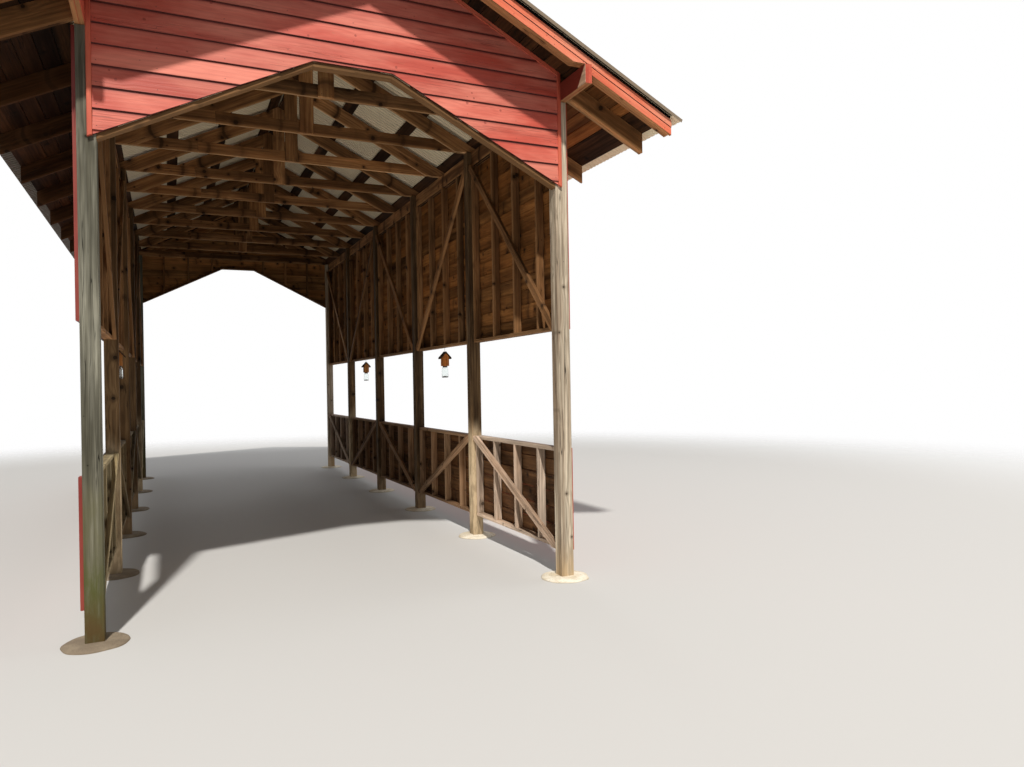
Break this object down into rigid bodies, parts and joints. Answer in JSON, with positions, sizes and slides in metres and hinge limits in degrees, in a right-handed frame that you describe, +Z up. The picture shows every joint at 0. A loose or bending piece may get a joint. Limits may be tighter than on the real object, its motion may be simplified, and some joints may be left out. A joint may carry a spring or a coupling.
{
  "type": "covered bridge",
  "caption": "Timber covered bridge with square posts, half-open plank walls, arched gable fronts, open roof trusses and a ribbed metal gable roof.",
  "frame": {"origin": "centre of the footprint, on the ground under the posts", "axes": "+Z up, Y along the road with the front gable facing -Y, +X to the right of someone who drives in"},
  "size_m": [6.5, 13.482, 6.3216],
  "materials": {
    "concrete": "rough pale concrete",
    "post_wood": "weathered square posts with a green and tan bloom",
    "raw_wood": "raw brown pine with knots",
    "red_paint": "boards painted barn red, matt",
    "roof_metal": "painted ribbed sheet, tan outside and cream beneath",
    "bee_wood": "raw wood gone grey",
    "jar_glass": "clear, slightly cloudy"
  },
  "bodies": {
    "root": {"post_collars": "concrete", "right_posts": "post_wood", "left_posts": "post_wood", "right_beam": "raw_wood", "left_beam": "raw_wood", "right_upper_plates": "raw_wood", "left_upper_plates": "raw_wood", "right_upper_studs": "raw_wood", "left_upper_studs": "raw_wood", "right_upper_braces": "raw_wood", "left_upper_braces": "raw_wood", "right_upper_siding": "red_paint", "left_upper_siding": "red_paint", "right_low_rails": "raw_wood", "left_low_rails": "raw_wood", "right_low_studs": "raw_wood", "left_low_studs": "raw_wood", "right_low_braces": "raw_wood", "left_low_braces": "raw_wood", "right_low_siding": "red_paint", "left_low_siding": "red_paint", "front_gable_siding": "red_paint", "back_gable_siding": "red_paint", "corner_trims": "red_paint", "frieze_boards": "red_paint", "front_gable_studs": "raw_wood", "back_gable_studs": "raw_wood", "front_arch_lining": "raw_wood", "back_arch_lining": "raw_wood", "right_rafters": "raw_wood", "left_rafters": "raw_wood", "truss_chords": "raw_wood", "king_posts": "raw_wood", "fly_rafters": "raw_wood", "front_rake_boards": "red_paint", "back_rake_boards": "red_paint", "right_purlins": "raw_wood", "left_purlins": "raw_wood", "right_roofing": "roof_metal", "left_roofing": "roof_metal", "front_rake_trim": "roof_metal", "back_rake_trim": "roof_metal", "ridge_cap": "roof_metal", "bee_houses": "bee_wood", "bee_jars": "jar_glass"}
  },
  "joints": []
}
